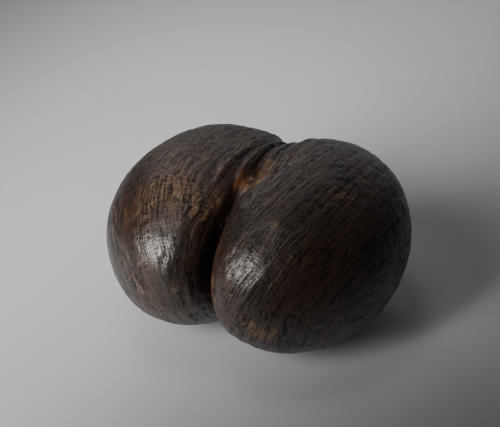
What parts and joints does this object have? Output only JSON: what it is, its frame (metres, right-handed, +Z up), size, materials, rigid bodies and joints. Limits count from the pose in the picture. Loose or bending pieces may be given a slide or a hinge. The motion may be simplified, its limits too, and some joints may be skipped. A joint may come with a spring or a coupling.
{
  "type": "coco de mer nut",
  "caption": "Hard, dark, bilobed palm seed with a cleft between its lobes; a polished natural display piece that lies on its broad face.",
  "frame": {"origin": "on the surface that the nut lies on, under the middle of its box", "axes": "+Z up, +Y towards the stem end where the lobes are grown together, -Y towards the lobes' free tips, +X out of the right lobe's cheek"},
  "size_m": [0.304, 0.274, 0.183],
  "materials": {
    "shell": "natural hard seed shell, dark brown to black, fine fibre relief, polished to a satin sheen"
  },
  "bodies": {
    "root": {"nut": "shell"}
  },
  "joints": []
}
